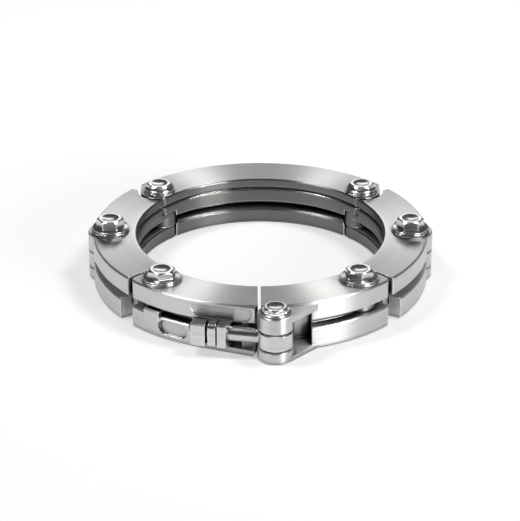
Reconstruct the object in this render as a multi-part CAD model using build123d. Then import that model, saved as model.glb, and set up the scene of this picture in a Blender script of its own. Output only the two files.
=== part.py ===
"""Hinged ring clamp for a vacuum flange pair: five arc segments, four hinges and a swing-bolt closure.

Frame: +Z is the ring's axis, pointing up; the origin is on that axis at the resting face.
The closure is at -Y, the one-piece back segment is at +Y. Millimetres.
"""
import os
from math import acos, atan2, cos, degrees, hypot, radians, sin, tan

from build123d import *

os.makedirs("parts", exist_ok=True)

# ---- ring ----
bore_radius = 40.0
ring_width = 14.0
ring_height = 16.0
edge_chamfer = 0.45
corner_round = 1.2

# ---- the three layers of every hinge, from the resting face up ----
lower_layer_top = 4.2
middle_layer_top = 9.8
layer_play = 0.12

# ---- grooves in the bore wall and the slot in the outer wall ----
seat_groove_bottom = 4.9
seat_groove_mouth = 2.7
seat_groove_depth = 4.0
seat_groove_angle = 12.0
relief_groove_bottom = 12.3
relief_groove_height = 0.8
relief_groove_depth = 1.0
groove_chamfer = 0.5
slot_bottom = 7.1
slot_depth = 4.0
seat_play = 0.3

# ---- segment ends and hinge axes, as angles from +X seen from above ----
back_hinge_angle = 138.0
back_hinge_inset = 5.5
front_hinge_angle = 229.6
front_hinge_inset = 7.2
front_gap_angle = 220.6
front_gap_at_rim = 0.95
front_gap_at_bore = 0.4
front_corner_round = 2.2
lower_gap_angle = 218.9
lower_gap_at_rim = 6.6
ear_radius = 6.2
knuckle_radius = 5.6
tongue_radius = 5.0
hinge_play = 0.35
back_gap_at_ear = 1.1
back_swing_room = 17.0
side_tip_angle = 143.2

# ---- side lugs ----
side_bolt_inset = 8.5
side_bolt_angle = 180.0
lug_radius = 7.2

# ---- hex flange bolts ----
bolt_diameter = 5.0
bolt_hole_play = 0.06
hex_across_flats = 7.8
back_hex_height = 1.4
front_hex_height = 2.3
side_hex_height = 2.8
flange_diameter = 11.6
flange_thickness = 0.9
flange_slope = 0.35
hex_corner_bevel = 0.5
dish_depth = 0.5
dish_diameter = 5.6
washer_diameter = 12.2
washer_thickness = 0.7
head_play = 0.03
back_flange_diameter = 9.8
back_washer_diameter = 10.4
bolt_end_inset = 0.4

# ---- closure pin, swing bolt and what is on it ----
pin_x = 4.6
pin_past_rim = 2.7
barrel_radius = 5.6
seam_chamfer = 0.4
seam_gap = 0.25
pin_flange_diameter = 9.4
pin_hex_across_flats = 7.0
pin_hex_height = 1.3
pin_flange_thickness = 0.7
eye_flat_width = 4.0
rod_diameter = 5.0
rod_height = 7.0
rod_tilt = 11.0
keeper_start = 14.8
keeper_gap = 2.8
keeper_length = 2.65
keeper_size = 7.6
keeper_rake = 17.0
channel_room = 4.2
tuck_start = 0.5
tuck_slope = 41.6
lip_chamfer = 0.75
closing_washer_gap = 0.5
closing_washer_length = 2.4
closing_washer_size = 7.9
closing_washer_round = 1.6
closing_nut_gap = 0.9
closing_nut_length = 4.4
closing_nut_size = 7.4
rod_end_length = 1.0
rod_play = 0.4

# ---- ends of the front segments ----
closure_gap_left = -0.8
closure_gap_right = 0.1
nose_tilt = 13.5
nose_start_x = -18.4
nose_step = 0.5
nose_corner_round = 1.8
strip_thickness = 1.9
strip_reach = 2.2
strip_start_x = -21.5
tine_reach = 0.6
window_wall_inset = 8.0
scoop_depth = 0.6
scoop_bottom = 10.4
scoop_top = 14.9
scoop_left = -3.4
scoop_right = 15.6
lower_gap_at_bore = 1.6
ear_thickness_top = 2.8
ear_thickness_bottom = 1.4
window_end_x = 15.8
ear_meets_rim_x = 17.5
barrel_clearance = 1.0
recess_start_angle = 234.2
recess_end_angle = 245.4
recess_bottom = 1.7
recess_height = 4.9
recess_depth = 0.9
boss_start_angle = 228.2
boss_end_angle = 234.4
boss_bottom = 1.9
boss_top = 8.7
boss_thickness = 1.8
boss_past_rim = 0.3

# ---- derived ----
rim_radius = bore_radius + ring_width
back_hinge_radius = bore_radius + back_hinge_inset
front_hinge_radius = bore_radius + front_hinge_inset
side_bolt_radius = bore_radius + side_bolt_inset
window_wall_radius = bore_radius + window_wall_inset
pin_y = -(rim_radius + pin_past_rim)
tongue_bottom = slot_bottom + layer_play


def polar(radius, angle):
    """Point at a radius and an angle from +X."""
    return (radius * cos(radians(angle)), radius * sin(radians(angle)))


def along(point, distance, angle):
    """Point at a distance and a direction from another point."""
    return (point[0] + distance * cos(radians(angle)), point[1] + distance * sin(radians(angle)))


def section(points, start, end):
    """Turns a closed outline of (radius, height) points about Z, from one angle to another."""
    face = make_face(Plane.XZ * Polyline(*points, close=True))
    return Rot(0, 0, start) * revolve(face, Axis.Z, end - start)


def prism(points, bottom, top):
    """Upright prism over a closed outline of (x, y) points."""
    return Pos(0, 0, bottom) * extrude(make_face(Polyline(*points, close=True)), top - bottom)


def post(place, radius, bottom, top):
    """Upright cylinder."""
    return Pos(place[0], place[1], bottom) * extrude(Circle(radius), top - bottom)


def knuckle(place, radius, bottom, top):
    """Upright cylinder with both of its rims chamfered."""
    body = post(place, radius, bottom, top)
    rims = body.edges().group_by(Axis.Z)
    return chamfer(rims[0] + rims[-1], seam_chamfer)


def wedge(start, end, bottom, top):
    """Everything between two angles, reaching well past the rim."""
    reach = 2 * rim_radius
    middle = (start + end) / 2
    half = (end - start) / 2
    far = reach / cos(radians(half))
    return prism([(0, 0), polar(far, start), polar(reach, middle), polar(far, end)], bottom, top)


UP = (Align.CENTER, Align.CENTER, Align.MIN)


def gap(angle, at_bore, at_rim, bottom, top):
    """Radial gap centred on an angle, widening from the bore to the rim."""
    x, y = cos(radians(angle)), sin(radians(angle))
    slope = (at_rim - at_bore) / ring_width / 2
    inner, outer = bore_radius - 2, rim_radius + 3
    half_in = at_bore / 2 - 2 * slope
    half_out = at_rim / 2 + 3 * slope
    corners = [(inner, -half_in), (outer, -half_out), (outer, half_out), (inner, half_in)]
    return prism([(r * x - w * y, r * y + w * x) for r, w in corners], bottom, top)


def corner_cut(corner, dir_x, dir_y, radius, bottom, top):
    """What a vertical round takes off a corner; the material lies towards dir_x, dir_y."""
    x, y = corner
    centre = (x + dir_x * radius, y + dir_y * radius)
    out = (x - dir_x, y - dir_y)
    square = prism([out, (centre[0], out[1]), centre, (out[0], centre[1])], bottom, top)
    return square - post(centre, radius, bottom, top)


def rim_corner_cut(angle, offset, toward, radius, bottom, top):
    """What a vertical round takes off the outer corner of an end face near an angle."""
    across = offset + toward * radius
    out = ((rim_radius - radius) ** 2 - across**2) ** 0.5
    past = rim_radius + 1
    square = prism([(out, across), (past, across), (past, offset - toward), (out, offset - toward)], bottom, top)
    return Rot(0, 0, angle) * (square - post((out, across), radius, bottom, top))


rod_direction = (-cos(radians(rod_tilt)), sin(radians(rod_tilt)))
rod_outward = (-sin(radians(rod_tilt)), -cos(radians(rod_tilt)))
shoulder = keeper_start - keeper_gap
closing_washer_start = keeper_start + keeper_length + closing_washer_gap
closing_nut_start = closing_washer_start + closing_washer_length + closing_nut_gap


def along_rod(distance, outward):
    """Point at a distance from the closure pin along the rod, and outward from it."""
    return (
        pin_x + distance * rod_direction[0] + outward * rod_outward[0],
        pin_y + distance * rod_direction[1] + outward * rod_outward[1],
    )


def rod_box(start, end, inward, outward, bottom, top):
    """Box lined up with the rod."""
    corners = [(start, inward), (end, inward), (end, outward), (start, outward)]
    return prism([along_rod(*corner) for corner in corners], bottom, top)


seat_top = seat_groove_bottom + seat_groove_mouth
seat_taper = seat_groove_depth * tan(radians(seat_groove_angle))
seat_end = bore_radius + seat_groove_depth
relief_top = relief_groove_bottom + relief_groove_height
relief_end = bore_radius + relief_groove_depth
slot_end = rim_radius - slot_depth

bore_wall_upper = [
    (bore_radius, relief_groove_bottom - groove_chamfer),
    (bore_radius + groove_chamfer / 2, relief_groove_bottom),
    (relief_end, relief_groove_bottom),
    (relief_end, relief_top),
    (bore_radius + groove_chamfer / 2, relief_top),
    (bore_radius, relief_top + groove_chamfer),
    (bore_radius, ring_height - edge_chamfer),
    (bore_radius + edge_chamfer, ring_height),
]
bore_wall_seat = [
    (bore_radius, seat_groove_bottom - groove_chamfer),
    (bore_radius + groove_chamfer, seat_groove_bottom),
    (seat_end, seat_groove_bottom + seat_taper),
    (seat_end, seat_top - seat_taper),
    (bore_radius + groove_chamfer, seat_top),
    (bore_radius, seat_top + groove_chamfer),
]
rim_wall_lower = [
    (slot_end, slot_bottom),
    (rim_radius - edge_chamfer, slot_bottom),
    (rim_radius, slot_bottom - edge_chamfer),
    (rim_radius, edge_chamfer),
    (rim_radius - edge_chamfer, 0),
]
rim_wall_upper = [
    (rim_radius - edge_chamfer, ring_height),
    (rim_radius, ring_height - edge_chamfer),
    (rim_radius, middle_layer_top + edge_chamfer),
    (rim_radius - edge_chamfer, middle_layer_top),
]

solid_section = (
    [(bore_radius + edge_chamfer, 0), (bore_radius, edge_chamfer)]
    + bore_wall_seat
    + bore_wall_upper
    + rim_wall_upper
    + [(slot_end, middle_layer_top)]
    + rim_wall_lower
)
upper_section = [(bore_radius, middle_layer_top)] + bore_wall_upper + rim_wall_upper
link_section = [
    (bore_radius + groove_chamfer, lower_layer_top),
    *bore_wall_seat[1:],
    (bore_radius, middle_layer_top),
    (slot_end - seat_play, middle_layer_top),
    (slot_end - seat_play, lower_layer_top),
]
lower_section = [
    (bore_radius + edge_chamfer, 0),
    (bore_radius, edge_chamfer),
    (bore_radius, lower_layer_top),
    (slot_end, lower_layer_top),
] + rim_wall_lower

back_hinge = polar(back_hinge_radius, back_hinge_angle)
front_hinge = polar(front_hinge_radius, front_hinge_angle)
side_axis = polar(side_bolt_radius, side_bolt_angle)
pin_axis = (pin_x, pin_y)
back_hinge_right = (-back_hinge[0], back_hinge[1])
front_hinge_right = (-front_hinge[0], front_hinge[1])

bolt_radius = bolt_diameter / 2
hole_radius = bolt_radius + bolt_hole_play
ear_bottom = middle_layer_top + layer_play
lower_ear_top = lower_layer_top - layer_play
ear_window_top = ring_height - ear_thickness_top
ear_window_bottom = ear_thickness_bottom
closure_end_angle = 6.0
above = ring_height + 1
below = -1


def mirrored(shape):
    """The same piece on the right-hand side of the ring."""
    return mirror(shape, about=Plane.YZ)


# ---- back segment: one piece, with a lapped ear over each hinge ----
back_middle = 90.0
half_back = back_hinge_angle - back_middle
overlap_angle = degrees(ear_radius / back_hinge_radius)
back_body = section(solid_section, back_middle, back_hinge_angle + 2 * overlap_angle)
tongue_room = knuckle_radius + hinge_play
past_axis = wedge(back_hinge_angle, back_hinge_angle + 40, below, ear_bottom)
back_body -= past_axis
back_body -= post(back_hinge, tongue_room, below, ear_bottom)
ear_outline = wedge(back_hinge_angle, back_hinge_angle + 40, below, above)
ear_outline -= post(back_hinge, ear_radius, below, above)
back_body -= ear_outline
back_body -= post(back_hinge, hole_radius, below, above)
back_segment = back_body + mirrored(back_body)

# ---- left side segment: upper plate, link plate and lower plate under one side bolt ----
ear_room = ear_radius + back_gap_at_ear
front_gap = gap(front_gap_angle, front_gap_at_bore, front_gap_at_rim, below, above)
lower_gap = gap(lower_gap_angle, lower_gap_at_bore, lower_gap_at_rim, below, ear_bottom)

upper_plate = section(upper_section, back_hinge_angle, front_gap_angle)
upper_plate -= post(back_hinge, ear_room, below, above)
upper_plate -= wedge(back_hinge_angle - 20, side_tip_angle, below, above)
upper_plate -= front_gap
upper_plate -= rim_corner_cut(front_gap_angle, -front_gap_at_rim / 2, -1, edge_chamfer, below, above)
upper_plate += knuckle(side_axis, lug_radius, middle_layer_top, ring_height)
upper_plate -= post(side_axis, hole_radius, below, above)

swing_room = prism(
    [
        back_hinge,
        polar(2 * rim_radius, back_hinge_angle),
        along(back_hinge, rim_radius, back_hinge_angle + back_swing_room),
    ],
    below,
    above,
)
link_plate = section(link_section, back_hinge_angle, front_hinge_angle) - swing_room
link_plate += knuckle(back_hinge, knuckle_radius, lower_layer_top, middle_layer_top)
link_plate += post(front_hinge, tongue_radius, lower_layer_top, middle_layer_top)
link_plate -= wedge(lower_gap_angle, lower_gap_angle + 40, below, tongue_bottom)
link_plate += knuckle(side_axis, lug_radius, lower_layer_top, middle_layer_top)
link_plate -= post((0, 0), bore_radius, below, above)
for axis in (back_hinge, front_hinge, side_axis):
    link_plate -= post(axis, hole_radius, below, above)

lower_plate = section(lower_section, back_hinge_angle, lower_gap_angle)
lower_plate -= lower_gap + swing_room
lower_plate -= post(side_axis, lug_radius + seat_play, lower_layer_top, above)
lower_plate -= post(back_hinge, knuckle_radius + seat_play, lower_layer_top, above)
lower_plate += knuckle(back_hinge, knuckle_radius, 0, lower_layer_top)
lower_plate += knuckle(side_axis, lug_radius, 0, lower_layer_top)
lower_plate -= post((0, 0), bore_radius, below, above)
for axis in (back_hinge, side_axis):
    lower_plate -= post(axis, bolt_radius, below, above)

# ---- what both front segments share: a fork over the link plate's tongue ----
front_body = section(solid_section, front_gap_angle, 270 + closure_end_angle)
front_body -= front_gap
front_body -= lower_gap
fork = wedge(front_gap_angle - 20, front_hinge_angle, slot_bottom, ear_bottom)
fork += post(front_hinge, tongue_radius + hinge_play, slot_bottom, ear_bottom)
front_body -= fork
front_body -= rim_corner_cut(front_gap_angle, front_gap_at_rim / 2, 1, front_corner_round, middle_layer_top, above)
front_body -= post(front_hinge, hole_radius, ear_bottom - 1, above)
front_body -= post(front_hinge, bolt_radius, below, slot_bottom + 1)

# ---- front left segment: straight nose, outward-open channel for the swing bolt ----
keeper_room = keeper_size / 2 + channel_room
keeper_back = keeper_size * tan(radians(keeper_rake))
nut_room_end = closing_nut_start + closing_nut_length + rod_end_length + rod_play
rod_room = rod_diameter / 2 + rod_play
nose_slope = tan(radians(nose_tilt))
nose_start_y = -((rim_radius**2 - nose_start_x**2) ** 0.5)
nose_end_y = nose_start_y - (closure_gap_left - nose_start_x) * nose_slope
strip_start_y = -((rim_radius**2 - strip_start_x**2) ** 0.5)
strip_end_y = nose_end_y - strip_reach
past_rim = ring_width
inner_y = -bore_radius - relief_groove_depth - 2

front_left = front_body
nose_outline = [
    (nose_start_x, nose_start_y),
    (closure_gap_left, nose_end_y),
    (closure_gap_left, inner_y - 3),
    (nose_start_x, inner_y - 3),
]
front_left += prism(nose_outline, middle_layer_top, ring_height - nose_step)
strip_outline = [
    (strip_start_x, strip_start_y),
    (closure_gap_left, strip_end_y),
    (closure_gap_left, inner_y - 3),
    (strip_start_x, inner_y),
]
front_left += prism(strip_outline, 0, strip_thickness)
nut_room = [
    along_rod(shoulder, past_rim),
    along_rod(shoulder, keeper_size / 2),
    along_rod(shoulder - keeper_back, -keeper_size / 2),
    along_rod(shoulder - keeper_back, -keeper_room),
    along_rod(nut_room_end, -keeper_room),
    along_rod(nut_room_end, past_rim),
]
front_left -= prism(nut_room, strip_thickness, middle_layer_top)
front_left -= rod_box(-past_rim, shoulder, -rod_room, past_rim, rod_height - rod_room, middle_layer_top)
front_left -= rod_box(-past_rim, shoulder, tine_reach, past_rim, strip_thickness, middle_layer_top)
front_left -= post(pin_axis, barrel_radius + barrel_clearance, below, above)
front_left -= Pos(closure_gap_left + rim_radius, -rim_radius, 0) * Box(2 * rim_radius, rim_radius, 3 * ring_height)
left_corner = (closure_gap_left, -((bore_radius**2 - closure_gap_left**2) ** 0.5))
front_left -= corner_cut(left_corner, -1, -1, corner_round, below, above)
front_left -= corner_cut((closure_gap_left, nose_end_y), -1, 1, nose_corner_round, strip_thickness, above)
front_left -= corner_cut((closure_gap_left, strip_end_y), -1, 1, corner_round, below, strip_thickness)
scoop_plane = Plane(
    origin=(nose_start_x, nose_start_y, 0),
    x_dir=(cos(radians(nose_tilt)), -sin(radians(nose_tilt)), 0),
    z_dir=(-sin(radians(nose_tilt)), -cos(radians(nose_tilt)), 0),
)
lip_plane = Plane(
    origin=(closure_gap_left, nose_end_y, middle_layer_top),
    x_dir=(-sin(radians(nose_tilt)), -cos(radians(nose_tilt)), 0),
    z_dir=(-cos(radians(nose_tilt)), sin(radians(nose_tilt)), 0),
)
lip_corner = make_face(Polyline((-lip_chamfer, 0), (1, -1), (1, lip_chamfer + 1), (0, lip_chamfer), close=True))
front_left -= extrude(lip_plane * lip_corner, rim_radius / 2)
scoop_height = scoop_top - scoop_bottom
scoop_start = (scoop_left, scoop_top)
scoop_foot = (scoop_left + scoop_height, scoop_bottom)
scoop_toe = (scoop_right - scoop_height / 2, scoop_bottom)
scoop_end = (scoop_right, scoop_top)
scoop_edge = Polyline(scoop_foot, scoop_toe)
scoop_edge += TangentArc(scoop_toe, scoop_end, tangent=(1, 0))
scoop_edge += Polyline(scoop_end, scoop_start)
scoop_edge += TangentArc(scoop_foot, scoop_start, tangent=(-1, 0))
scoop = extrude(scoop_plane * make_face(scoop_edge.edges()), scoop_depth, both=True)
front_left -= scoop
boss_section = [
    (rim_radius - boss_thickness, boss_bottom),
    (rim_radius + boss_past_rim - edge_chamfer, boss_bottom),
    (rim_radius + boss_past_rim, boss_bottom + edge_chamfer),
    (rim_radius + boss_past_rim, boss_top - edge_chamfer),
    (rim_radius + boss_past_rim - edge_chamfer, boss_top),
    (rim_radius - boss_thickness, boss_top),
]
front_left += section(boss_section, boss_start_angle, boss_end_angle)
recess_middle = (recess_start_angle + recess_end_angle) / 2
recess_length = 2 * rim_radius * sin(radians((recess_end_angle - recess_start_angle) / 2))
recess_plane = Plane(
    origin=(*polar(rim_radius + 3, recess_middle), recess_bottom + recess_height / 2),
    x_dir=(-sin(radians(recess_middle)), cos(radians(recess_middle)), 0),
    z_dir=(-cos(radians(recess_middle)), -sin(radians(recess_middle)), 0),
)
recess = extrude(recess_plane * SlotOverall(recess_length, recess_height), 6)
recess -= post((0, 0), rim_radius - recess_depth, below, above)
front_left -= recess

# ---- front right segment: two ears with barrel knuckles round the closure pin ----
front_right = mirrored(front_body)
front_right -= Pos(closure_gap_right - rim_radius, -rim_radius, 0) * Box(2 * rim_radius, rim_radius, 3 * ring_height)
right_corner = (closure_gap_right, -((bore_radius**2 - closure_gap_right**2) ** 0.5))
front_right -= corner_cut(right_corner, 1, -1, corner_round, below, above)
window_outline = [
    (window_end_x, -rim_radius - past_rim),
    (window_end_x, -bore_radius),
    (-ring_width, -bore_radius),
    (-ring_width, -rim_radius - past_rim),
]
window = prism(window_outline, ear_window_bottom, ear_window_top)
front_right -= window - post((0, 0), window_wall_radius, below, above)
ear_end = (ear_meets_rim_x, -((rim_radius**2 - ear_meets_rim_x**2) ** 0.5))
reach = hypot(ear_end[0] - pin_x, ear_end[1] - pin_y)
bearing = degrees(atan2(ear_end[1] - pin_y, ear_end[0] - pin_x))
touch_angle = bearing - degrees(acos(barrel_radius / reach))
touch = (pin_x + barrel_radius * cos(radians(touch_angle)), pin_y + barrel_radius * sin(radians(touch_angle)))
ear_outline = [
    (closure_gap_right, pin_y),
    pin_axis,
    touch,
    ear_end,
    (ear_end[0], inner_y - 5),
    (closure_gap_right, inner_y - 5),
]
ear_top = ring_height - nose_step
front_right += prism(ear_outline, ear_window_top, ear_top)
front_right += prism(ear_outline, 0, ear_window_bottom)
front_right -= post(pin_axis, barrel_radius + seam_gap, lower_layer_top - seam_gap, middle_layer_top + seam_gap)
front_right += knuckle(pin_axis, barrel_radius, middle_layer_top + seam_gap, ear_top)
front_right += knuckle(pin_axis, barrel_radius, 0, lower_layer_top - seam_gap)
front_right -= post(pin_axis, pin_flange_diameter / 2 + seat_play, ear_top, above)
front_right -= post(pin_axis, hole_radius, ear_bottom - 1, above)
front_right -= post(pin_axis, bolt_radius, below, lower_ear_top + 1)


# ---- bolts, washers and the closure pin ----
def hex_flange_bolt(place, seat, bottom, across_flats, hex_height, flange, thickness, turn):
    """Bolt with a sloped flange, a bevelled hexagon and a shallow dish in its top."""
    corner = across_flats / 3**0.5
    top = seat + thickness + hex_height
    bolt = post(place, bolt_radius, bottom, seat + thickness)
    bolt += Pos(*place, seat) * Cylinder(flange / 2, thickness - flange_slope, align=UP)
    cone = Cone(flange / 2, corner, flange_slope, align=UP)
    bolt += Pos(*place, seat + thickness - flange_slope) * cone
    hexagon = extrude(RegularPolygon(corner, 6, rotation=turn), top - seat - thickness / 2)
    hexagon = Pos(0, 0, seat + thickness / 2) * hexagon
    bevel = Cone(corner + 2 * hex_corner_bevel, across_flats / 2 - hex_corner_bevel / 2, 3 * hex_corner_bevel, align=UP)
    drum = Cylinder(corner + 1, top - seat - 3 * hex_corner_bevel, align=UP)
    drum = Pos(0, 0, seat) * drum + Pos(0, 0, top - 3 * hex_corner_bevel) * bevel
    bolt += Pos(*place, 0) * (hexagon & drum)
    dish_radius = (dish_diameter**2 / 4 + dish_depth**2) / (2 * dish_depth)
    bolt -= Pos(*place, top - dish_depth + dish_radius) * Sphere(dish_radius)
    return bolt


def washer(place, diameter, bottom):
    """Plain washer on a bolt."""
    disc = post(place, diameter / 2, bottom, bottom + washer_thickness)
    return disc - post(place, hole_radius, bottom - 1, bottom + 2)


washer_seat = ring_height
head_seat = washer_seat + washer_thickness
hinge_seat = washer_seat + head_play
flange = (flange_diameter, flange_thickness)
back_bolt = hex_flange_bolt(
    back_hinge,
    hinge_seat + washer_thickness,
    bolt_end_inset,
    hex_across_flats,
    back_hex_height,
    back_flange_diameter,
    flange_thickness,
    0,
)
side_bolt = hex_flange_bolt(side_axis, head_seat, bolt_end_inset, hex_across_flats, side_hex_height, *flange, 0)
front_bolt = hex_flange_bolt(front_hinge, head_seat, bolt_end_inset, hex_across_flats, front_hex_height, *flange, 20)
closure_pin = hex_flange_bolt(
    pin_axis,
    ear_top,
    bolt_end_inset,
    pin_hex_across_flats,
    pin_hex_height,
    pin_flange_diameter,
    pin_flange_thickness,
    30,
)
back_washer = washer(back_hinge, back_washer_diameter, hinge_seat)
side_washer = washer(side_axis, washer_diameter, washer_seat)
front_washer = washer(front_hinge, washer_diameter, washer_seat)

# ---- swing bolt, keeper block, washer and nut along the rod's line ----
eye_bottom = lower_layer_top
eye_top = middle_layer_top
rod_end = closing_nut_start + closing_nut_length + rod_end_length
rod_plane = Plane(origin=(pin_x, pin_y, rod_height), x_dir=(0, 0, 1), z_dir=(*rod_direction, 0))
rod = extrude(rod_plane * Circle(rod_diameter / 2), rod_end)
rod = chamfer(rod.edges().group_by(Axis.X)[0], edge_chamfer)
eye = knuckle(pin_axis, barrel_radius, eye_bottom, eye_top)
eye_flat = (barrel_radius**2 - eye_flat_width**2 / 4) ** 0.5
eye -= Pos(pin_x, pin_y - eye_flat - barrel_radius, rod_height) * Box(4 * barrel_radius, 2 * barrel_radius, ring_height)
swing_bolt = rod + eye
swing_bolt -= post(pin_axis, hole_radius, below, above)


def rod_piece(start, length, size, corner, hole):
    """Square piece with rounded corners on the rod, its hidden top corner bevelled to tuck under the nose."""
    plane = Plane(origin=(*along_rod(start, 0), rod_height), x_dir=(0, 0, 1), z_dir=(*rod_direction, 0))
    drop = size / tan(radians(90 - tuck_slope))
    tuck = Polyline((size / 2, tuck_start), (size / 2 - drop, tuck_start + size), (size, size), close=True)
    return extrude(plane * (RectangleRounded(size, size, corner) - Circle(hole) - make_face(tuck)), length)


rod_fit = rod_diameter / 2 + bolt_hole_play
keeper_block = rod_piece(keeper_start - keeper_back, keeper_length + keeper_back, keeper_size, edge_chamfer, rod_fit)
keeper_rake_outline = [
    along_rod(keeper_start, keeper_size / 2),
    along_rod(keeper_start - keeper_back, -keeper_size / 2),
    along_rod(keeper_start - keeper_back - 1, -keeper_size / 2),
    along_rod(keeper_start - keeper_back - 1, keeper_size / 2 + 1),
    along_rod(keeper_start, keeper_size / 2 + 1),
]
keeper_block -= prism(keeper_rake_outline, below, above)
closing_washer = rod_piece(
    closing_washer_start, closing_washer_length, closing_washer_size, closing_washer_round, rod_fit
)
closing_nut = rod_piece(closing_nut_start, closing_nut_length, closing_nut_size, edge_chamfer, rod_diameter / 2)

# ---- files ----
paired = {
    "upper_plate": upper_plate,
    "link_plate": link_plate,
    "lower_plate": lower_plate,
    "back_hinge_bolt": back_bolt,
    "back_hinge_washer": back_washer,
    "side_bolt": side_bolt,
    "side_washer": side_washer,
    "front_hinge_bolt": front_bolt,
    "front_hinge_washer": front_washer,
}
single = {
    "back_segment": back_segment,
    "front_left_segment": front_left,
    "front_right_segment": front_right,
    "closure_pin": closure_pin,
    "swing_bolt": swing_bolt,
    "keeper_block": keeper_block,
    "closing_washer": closing_washer,
    "closing_nut": closing_nut,
}
for name, shape in paired.items():
    export_step(shape, f"parts/left_{name}.step")
    export_step(mirrored(shape), f"parts/right_{name}.step")
for name, shape in single.items():
    export_step(shape, f"parts/{name}.step")
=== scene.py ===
"""A hinged ring clamp of turned stainless steel, lying closed on a white bench."""
import math

import bpy
import numpy as np
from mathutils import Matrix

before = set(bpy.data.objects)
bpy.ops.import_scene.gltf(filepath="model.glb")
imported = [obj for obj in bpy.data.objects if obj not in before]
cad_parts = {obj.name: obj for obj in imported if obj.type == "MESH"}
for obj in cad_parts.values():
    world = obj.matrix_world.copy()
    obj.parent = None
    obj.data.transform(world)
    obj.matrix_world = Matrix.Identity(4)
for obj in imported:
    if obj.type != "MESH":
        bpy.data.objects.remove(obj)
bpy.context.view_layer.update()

# ---------------------------------------------------------------------------
# The bench: a matt white laminate top, far wider than the view. What the camera,
# a mirror or a glass sees of it is lifted to plain white, and the shadow stays.
# ---------------------------------------------------------------------------
WHITE = "#FFFFFF"
BENCH_WHITE = "#DADADA"
BENCH_LIFT = 0.42
BENCH_HALF_WIDTH = 4.0
BENCH_POINTS = 9


def linear(code):
    """Linear RGBA of an sRGB hex colour: c/12.92 below 0.04045, else ((c+0.055)/1.055)^2.4."""
    c = np.array([int(code[i : i + 2], 16) for i in (1, 3, 5)]) / 255
    c = np.where(c <= 0.04045, c / 12.92, ((c + 0.055) / 1.055) ** 2.4)
    return (*c.tolist(), 1.0)


def add(tree, kind, inputs=None, **properties):
    """Adds a shader node. Each input is linked to another node's output or set to a plain value."""
    made = tree.nodes.new(kind)
    for name, value in properties.items():
        setattr(made, name, value)
    for name, value in (inputs or {}).items():
        if isinstance(value, bpy.types.NodeSocket):
            tree.links.new(value, made.inputs[name])
        else:
            made.inputs[name].default_value = value
    return made


def arithmetic(tree, operation, *values):
    """The result of one Math node on up to three values or outputs."""
    return add(tree, "ShaderNodeMath", dict(enumerate(values)), operation=operation).outputs[0]


def new_material(name):
    """A material with an empty node tree, and that tree."""
    material = bpy.data.materials.new(name)
    material.use_nodes = True
    material.node_tree.nodes.clear()
    return material, material.node_tree


def grid_faces(rows, columns):
    """Quads between neighbours on a rows by columns grid of points."""
    i = np.arange(rows - 1)[:, None]
    j = np.arange(columns - 1)[None, :]
    corner = (i * columns + j).ravel()
    return np.stack([corner, corner + 1, corner + columns + 1, corner + columns], 1)


def mesh_object(name, points, faces, material):
    """A mesh object at the origin from points in metres and a list of faces."""
    mesh = bpy.data.meshes.new(name)
    mesh.from_pydata(points.tolist(), [], faces.tolist())
    mesh.materials.append(material)
    made = bpy.data.objects.new(name, mesh)
    bpy.context.scene.collection.objects.link(made)
    return made


bench_paint, tree = new_material("white_laminate")
path = add(tree, "ShaderNodeLightPath").outputs
seen = arithmetic(tree, "MAXIMUM", path["Is Camera Ray"], path["Is Glossy Ray"])
seen = arithmetic(tree, "MAXIMUM", seen, path["Is Transmission Ray"])
matt = add(tree, "ShaderNodeBsdfDiffuse", {"Color": linear(BENCH_WHITE), "Roughness": 0.5})
lift = arithmetic(tree, "MULTIPLY", seen, BENCH_LIFT)
glow = add(tree, "ShaderNodeEmission", {"Color": linear(WHITE), "Strength": lift})
both = add(tree, "ShaderNodeAddShader", {0: matt.outputs[0], 1: glow.outputs[0]})
add(tree, "ShaderNodeOutputMaterial", {"Surface": both.outputs[0]})

# The bench is a level grid: x and y run evenly from edge to edge and z is 0.
across = np.linspace(-BENCH_HALF_WIDTH, BENCH_HALF_WIDTH, BENCH_POINTS)
grid_x, grid_y = np.meshgrid(across, across)
bench_points = np.stack([grid_x.ravel(), grid_y.ravel(), np.zeros(grid_x.size)], 1)
bench = mesh_object("bench_top", bench_points, grid_faces(BENCH_POINTS, BENCH_POINTS), bench_paint)

# ---------------------------------------------------------------------------
# The studio: a grey room, darker overhead and to the left, so that steel has
# something dark to show. Two overhead softboxes draw the bright fans on the turned
# faces, and three more light the top's middle, the front bands and the corners.
# ---------------------------------------------------------------------------
ROOM_LOW = "#7C7C7C"
ROOM_MIDDLE = "#5C5C5C"
ROOM_HIGH = "#3A3A3A"
ROOM_MIDDLE_HEIGHT = 0.45
ROOM_LEFT_STRENGTH = 0.4
ROOM_RIGHT_STRENGTH = 1.0
ROOM_LEFT_ENDS = -0.8
ROOM_RIGHT_STARTS = 0.15
RING_CENTRE = np.zeros(3)
# Each softbox: its place, width and depth in metres, and its power in watts.
SOFTBOXES = {
    "softbox_left": ((-0.43, 0.0, 0.85), 0.2, 0.3, 3.5),
    "softbox_right": ((0.43, 0.0, 0.85), 0.2, 0.3, 3.5),
    "softbox_back": ((0.0, 1.1, 0.55), 0.5, 0.35, 1.0),
    "softbox_front_right": ((0.75, -0.75, 0.28), 0.5, 0.4, 4.4),
    "softbox_overhead_front": ((0.0, -0.42, 0.88), 0.9, 0.12, 0.32),
}


def mapped(tree, value, low, high, to_low=0.0, to_high=1.0):
    """Carries the range low to high over to to_low to to_high, and holds the ends."""
    inputs = {"Value": value, "From Min": low, "From Max": high, "To Min": to_low, "To Max": to_high}
    return add(tree, "ShaderNodeMapRange", inputs).outputs["Result"]


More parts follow.
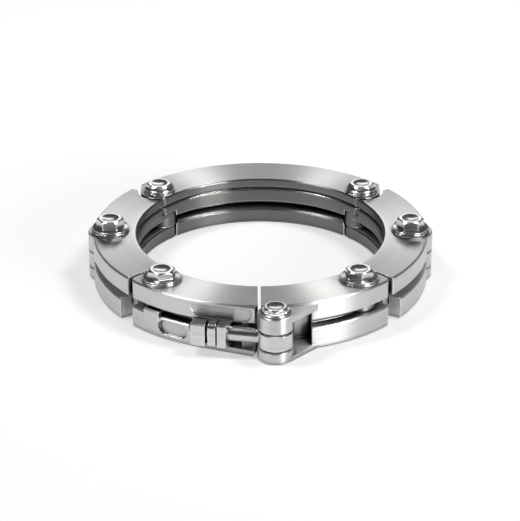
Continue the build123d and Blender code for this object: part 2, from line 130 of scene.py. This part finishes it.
def softbox(name, place, width, depth, watts):
    """A rectangular area lamp turned to face the ring."""
    data = bpy.data.lights.new(name, "AREA")
    data.shape, data.size, data.size_y, data.energy = "RECTANGLE", width, depth, watts
    lamp = bpy.data.objects.new(name, data)
    bpy.context.scene.collection.objects.link(lamp)
    toward = RING_CENTRE - np.array(place)
    tilt = math.acos(-toward[2] / np.linalg.norm(toward))
    turn = math.atan2(toward[1], toward[0]) - math.pi / 2
    lamp.location, lamp.rotation_euler = place, (tilt, 0.0, turn)


world = bpy.data.worlds.new("studio_room")
bpy.context.scene.world = world
world.use_nodes = True
tree = world.node_tree
tree.nodes.clear()
direction = add(tree, "ShaderNodeTexCoord").outputs["Generated"]
direction = add(tree, "ShaderNodeSeparateXYZ", {0: direction}).outputs
room = add(tree, "ShaderNodeValToRGB", {"Fac": direction["Z"]})
ramp = room.color_ramp.elements
ramp[0].position, ramp[0].color = 0.0, linear(ROOM_LOW)
ramp[1].position, ramp[1].color = 1.0, linear(ROOM_HIGH)
ramp.new(ROOM_MIDDLE_HEIGHT).color = linear(ROOM_MIDDLE)
side = mapped(
    tree, direction["X"], ROOM_LEFT_ENDS, ROOM_RIGHT_STARTS, ROOM_LEFT_STRENGTH, ROOM_RIGHT_STRENGTH
)
light = add(tree, "ShaderNodeBackground", {"Color": room.outputs["Color"], "Strength": side})
plain = add(tree, "ShaderNodeBackground", {"Color": linear(WHITE), "Strength": 1.0})
camera_ray = add(tree, "ShaderNodeLightPath").outputs["Is Camera Ray"]
pick = add(tree, "ShaderNodeMixShader", {0: camera_ray, 1: light.outputs[0], 2: plain.outputs[0]})
add(tree, "ShaderNodeOutputWorld", {"Surface": pick.outputs[0]})

for name, (place, width, depth, watts) in SOFTBOXES.items():
    softbox(name, place, width, depth, watts)

# ---------------------------------------------------------------------------
# The camera: it stands in front of the closure and looks down on the ring through a
# long lens.
# ---------------------------------------------------------------------------
CAMERA_TO_RING = 0.784
CAMERA_ABOVE = math.radians(26.14)
AIM = np.array((-0.00012, 0.0, 0.00496))
SENSOR_MM = 36.0
FOCAL_TO_SENSOR = 2408.0 / 521.0
NEAREST, FARTHEST = 0.05, 50.0

camera = bpy.data.objects.new("camera", bpy.data.cameras.new("camera"))
bpy.context.scene.collection.objects.link(camera)
camera.data.sensor_width = SENSOR_MM
camera.data.lens = FOCAL_TO_SENSOR * SENSOR_MM
camera.data.clip_start, camera.data.clip_end = NEAREST, FARTHEST
camera.location = AIM + CAMERA_TO_RING * np.array((0.0, -math.cos(CAMERA_ABOVE), math.sin(CAMERA_ABOVE)))
camera.rotation_euler = (math.pi / 2 - CAMERA_ABOVE, 0.0, 0.0)
bpy.context.scene.camera = camera
bpy.context.scene.view_settings.view_transform = "Standard"

# ---------------------------------------------------------------------------
# The arc segments and plates. Stainless bar, turned on a lathe as one ring and then
# sawn apart, so every face carries fine circles round the ring's axis. The bore wall is
# painted darker as painted shade, slots and seams are painted dark as painted shade, and
# corners are polished by deburring and carry a painted highlight.
# ---------------------------------------------------------------------------
STEEL = "#DCDCDA"
STEEL_DULL = "#D7D7D5"
# Colour painted on the inward-facing bore wall as painted shade.
BORE_PAINTED_SHADE = "#7E7E7C"
# Colour painted on corners as a painted highlight.
CORNER_PAINTED_HIGHLIGHT = "#FAFAF8"
# Colour painted into slots, seams and crevices as painted shade.
CREVICE_PAINTED_SHADE = "#141414"
STEEL_ROUGHNESS = 0.36
TOOL_MARK_MM = 0.35
TOOL_MARK_DEPTH_MM = 0.1
TOOL_MARK_BUMP = 0.04
TONE_BAND_MM = 2.38
GRAIN_STRETCH = 0.95
BORE_WALL_RADIUS = 0.0445
BORE_WALL_FACING = -0.3
CREVICE_MM = 2.4
SLOT_MM = 8.0
CORNER_MM = 0.35
CORNER_POLISH = 0.5


def blend(tree, share, first, second):
    """The colour a share of the way from the first to the second."""
    return add(tree, "ShaderNodeMix", {0: share, 6: first, 7: second}, data_type="RGBA").outputs[2]


def on_vectors(tree, operation, *vectors):
    """The result of one Vector Math node: a number for a length or dot product, else a vector."""
    made = add(tree, "ShaderNodeVectorMath", dict(enumerate(vectors)), operation=operation)
    return made.outputs["Value" if operation in ("LENGTH", "DOT_PRODUCT") else "Vector"]


def to_world(tree, vector):
    """The same direction, turned from the object's axes to the world's."""
    turned = {"vector_type": "VECTOR", "convert_from": "OBJECT", "convert_to": "WORLD"}
    return add(tree, "ShaderNodeVectorTransform", {0: vector}, **turned).outputs[0]


def openness(tree, reach_mm, low, high, own_only):
    """0 in a crevice narrower than the reach and 1 in the open, from the share of free sky."""
    inputs = {"Distance": reach_mm / 1000}
    sky = add(tree, "ShaderNodeAmbientOcclusion", inputs, samples=8, only_local=own_only)
    return mapped(tree, sky.outputs["AO"], low, high)


def turned_steel(name, bright, dull, roughness, bump, stretch, bore_shade_colour=None):
    """Stainless steel with tool marks and tone bands in circles round the ring's axis.

    Both are noise on the distance from the axis and the height. The stretch draws each
    highlight out across the circles. A corner is where the rounded normal leaves the flat one.
    Corners get a painted highlight and a lower roughness, crevices and slots get painted shade,
    and a bore colour, when given, paints the inward bore wall darker as painted shade.
    """
    material, tree = new_material(name)
    normal = add(tree, "ShaderNodeNewGeometry").outputs["Normal"]
    place = add(tree, "ShaderNodeTexCoord").outputs["Object"]
    parts = add(tree, "ShaderNodeSeparateXYZ", {0: place}).outputs
    outward = add(tree, "ShaderNodeCombineXYZ", {0: parts[0], 1: parts[1]}).outputs[0]
    radius = on_vectors(tree, "LENGTH", outward)
    rings = add(tree, "ShaderNodeCombineXYZ", {0: radius, 1: parts[2]}).outputs[0]
    fine = {"Vector": rings, "Scale": 1000 / TOOL_MARK_MM, "Detail": 4.0, "Roughness": 0.6}
    marks = add(tree, "ShaderNodeTexNoise", fine).outputs["Fac"]
    coarse = {"Vector": rings, "Scale": 1000 / TONE_BAND_MM, "Detail": 5.0, "Roughness": 0.6}
    bands = add(tree, "ShaderNodeTexNoise", coarse).outputs["Fac"]

    colour = blend(tree, mapped(tree, bands, 0.3, 0.6), linear(dull), linear(bright))
    # Painted shade: the inward-facing bore wall near the axis is painted a darker colour.
    if bore_shade_colour:
        unit = on_vectors(tree, "NORMALIZE", to_world(tree, outward))
        facing = on_vectors(tree, "DOT_PRODUCT", normal, unit)
        inward = arithmetic(tree, "LESS_THAN", facing, BORE_WALL_FACING)
        near = arithmetic(tree, "LESS_THAN", radius, BORE_WALL_RADIUS)
        colour = blend(tree, arithmetic(tree, "MULTIPLY", inward, near), colour, linear(bore_shade_colour))
    # Painted shade: slots, seams and crevices are painted near black where the occlusion mask closes in.
    seams = openness(tree, CREVICE_MM, 0.25, 0.85, False)
    slots = openness(tree, SLOT_MM, 0.2, 0.62, True)
    free_of_painted_shade = arithmetic(tree, "MULTIPLY", seams, slots)
    colour = blend(tree, free_of_painted_shade, linear(CREVICE_PAINTED_SHADE), colour)

    # Painted highlight: corners are painted almost white; their lower roughness is real polish.
    rounded = add(tree, "ShaderNodeBevel", {"Radius": CORNER_MM / 1000}, samples=10).outputs["Normal"]
    corner = mapped(tree, on_vectors(tree, "DOT_PRODUCT", rounded, normal), 0.995, 0.9)
    colour = blend(tree, corner, colour, linear(CORNER_PAINTED_HIGHLIGHT))
    rough = mapped(tree, marks, 0.3, 0.7, roughness * 0.85, roughness * 1.2)
    rough = arithmetic(tree, "MULTIPLY_ADD", corner, -CORNER_POLISH * roughness, rough)
    relief = {"Strength": bump, "Distance": TOOL_MARK_DEPTH_MM / 1000, "Height": marks, "Normal": rounded}
    relief = add(tree, "ShaderNodeBump", relief).outputs["Normal"]
    groove = to_world(tree, on_vectors(tree, "CROSS_PRODUCT", (0.0, 0.0, 1.0), outward))
    metal = {"Base Color": colour, "Metallic": 1.0, "Roughness": rough, "Normal": relief}
    metal.update({"Anisotropic": stretch, "Tangent": on_vectors(tree, "CROSS_PRODUCT", normal, groove)})
    metal = add(tree, "ShaderNodeBsdfPrincipled", metal)
    add(tree, "ShaderNodeOutputMaterial", {"Surface": metal.outputs[0]})
    return material


def dress(nodes, material):
    """Gives every material slot of the named CAD nodes one material."""
    for node in nodes:
        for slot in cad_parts[node].material_slots:
            slot.material = material


# Fine-turned stainless steel, left as it comes off the lathe; its bore wall is painted darker as painted
# shade.
segment_steel = turned_steel(
    "turned_stainless_steel", STEEL, STEEL_DULL, STEEL_ROUGHNESS, TOOL_MARK_BUMP, GRAIN_STRETCH, BORE_PAINTED_SHADE
)
segments = ["back_segment", "front_left_segment", "front_right_segment"]
for side in ("left", "right"):
    segments += [f"{side}_{plate}" for plate in ("upper_plate", "link_plate", "lower_plate")]
dress(segments, segment_steel)

# ---------------------------------------------------------------------------
# The screws, washers and the closure's pieces. Cold-headed or milled stainless steel,
# tumbled until bright, with no grain of its own.
# ---------------------------------------------------------------------------
SCREW_STEEL = "#D0D0CE"
SCREW_STEEL_DULL = "#BEBEBC"
SCREW_ROUGHNESS = 0.22
SCREW_BUMP = 0.015

# Tumbled stainless steel, smoother than the turned faces, with the same painted shade in crevices and
# painted highlight on corners.
screw_steel = turned_steel(
    "tumbled_stainless_steel", SCREW_STEEL, SCREW_STEEL_DULL, SCREW_ROUGHNESS, SCREW_BUMP, 0.0
)
dress([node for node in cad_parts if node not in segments], screw_steel)
